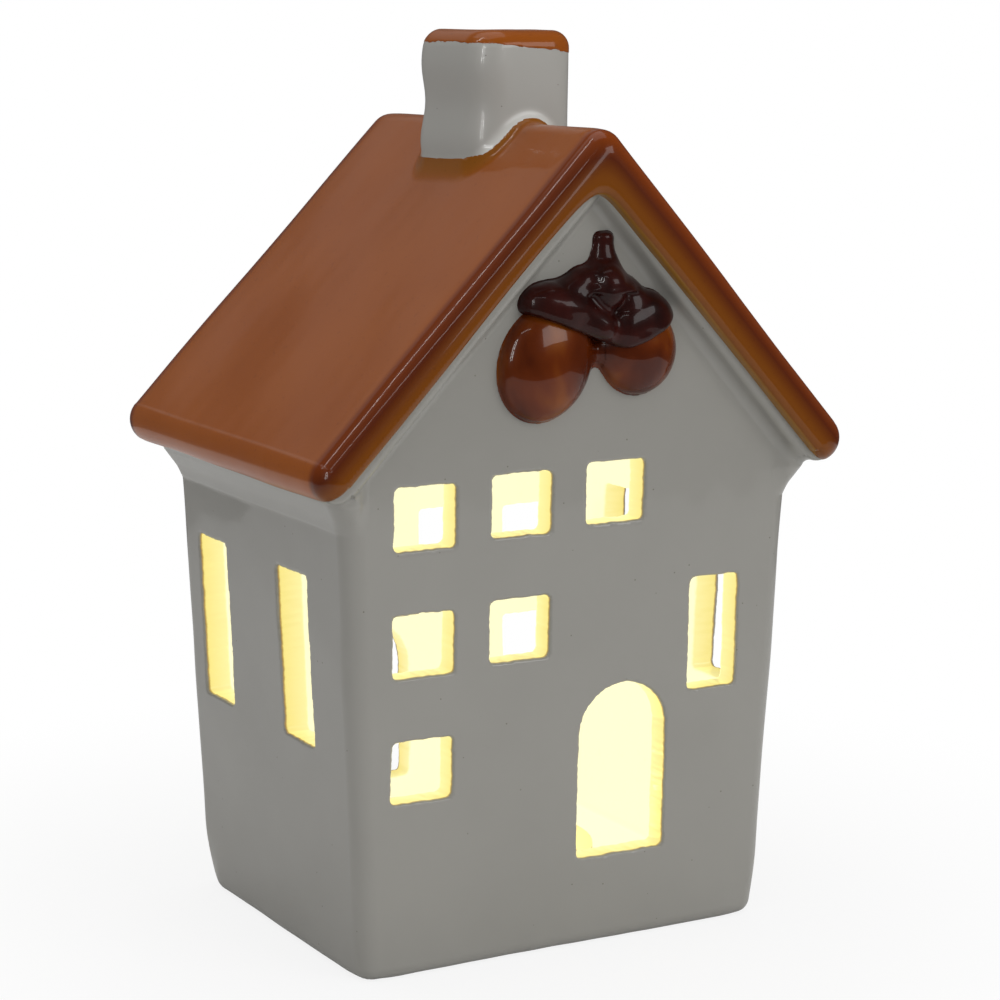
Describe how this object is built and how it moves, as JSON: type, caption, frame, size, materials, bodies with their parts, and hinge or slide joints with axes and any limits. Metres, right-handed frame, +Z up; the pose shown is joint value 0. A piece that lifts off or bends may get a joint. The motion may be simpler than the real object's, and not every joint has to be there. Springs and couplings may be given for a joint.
{
  "type": "light-up ceramic house",
  "caption": "Glazed ceramic house lantern with a steep brown roof, open chimney, cut-out windows, an acorn relief and a plug-in battery light underneath.",
  "frame": {"origin": "under the middle of the house, on the table that its foot ring rests on", "axes": "+Z up to the chimney, front wall with the acorns and the door towards -Y, +X to the right seen from the front"},
  "size_m": [0.098, 0.0778, 0.15],
  "materials": {
    "grey_glaze": "satin grey-white glaze with fine pinholes",
    "brown_glaze": "glossy caramel glaze, darker amber where it pools",
    "nut_glaze": "glossy amber brown glaze",
    "cap_glaze": "glossy near-black brown glaze",
    "housing": "moulded cream plastic",
    "led": "warm white lens",
    "tinned_wire": "tinned",
    "resistor": "lacquered",
    "switch_metal": "plated sheet",
    "black_plastic": "moulded",
    "cell_steel": "nickel plated can",
    "contact_metal": "spring sheet",
    "screw_steel": "zinc plated",
    "wire_red": "insulated hookup wire",
    "wire_black": "insulated hookup wire"
  },
  "bodies": {
    "house": {"house_walls": "grey_glaze", "roof": "brown_glaze", "chimney_stack": "grey_glaze", "chimney_rim": "brown_glaze", "acorn_left_nut": "nut_glaze", "acorn_right_nut": "nut_glaze", "acorn_left_cap": "cap_glaze", "acorn_right_cap": "cap_glaze", "acorn_stem": "cap_glaze"},
    "light_unit": {"light_base": "housing", "light_shell": "housing", "led_lens": "led", "led_anode_lead": "tinned_wire", "led_cathode_lead": "tinned_wire", "resistor": "resistor", "switch_frame": "switch_metal", "battery_1": "cell_steel", "battery_2": "cell_steel", "battery_3": "cell_steel", "contact_positive": "contact_metal", "contact_negative": "contact_metal", "contact_link_top": "contact_metal", "wire_to_switch": "wire_red", "wire_to_battery": "wire_black"},
    "switch_slider": {"switch_slider": "black_plastic"},
    "battery_cover": {"battery_cover": "housing", "contact_link_bottom": "contact_metal"},
    "cover_screw_1": {"cover_screw_1": "screw_steel"},
    "cover_screw_2": {"cover_screw_2": "screw_steel"}
  },
  "joints": [
    {"name": "light_unit_slide", "type": "slide", "parent": "house", "child": "light_unit", "axis": [0, 0, -1], "range_m": [0, 0.035]},
    {"name": "switch_slide", "type": "slide", "parent": "light_unit", "child": "switch_slider", "axis": [1, 0, 0], "range_m": [0, 0.002]},
    {"name": "battery_cover_slide", "type": "slide", "parent": "light_unit", "child": "battery_cover", "axis": [0, 0, -1], "range_m": [0, 0.012]},
    {"name": "cover_screw_1_turn", "type": "hinge", "parent": "battery_cover", "child": "cover_screw_1", "pos_m": [0.01247, 0.0072, 0], "axis": [0, 0, -1], "range_deg": [0, 1080]},
    {"name": "cover_screw_2_turn", "type": "hinge", "parent": "battery_cover", "child": "cover_screw_2", "pos_m": [-0.01247, 0.0072, 0], "axis": [0, 0, -1], "range_deg": [0, 1080]}
  ]
}
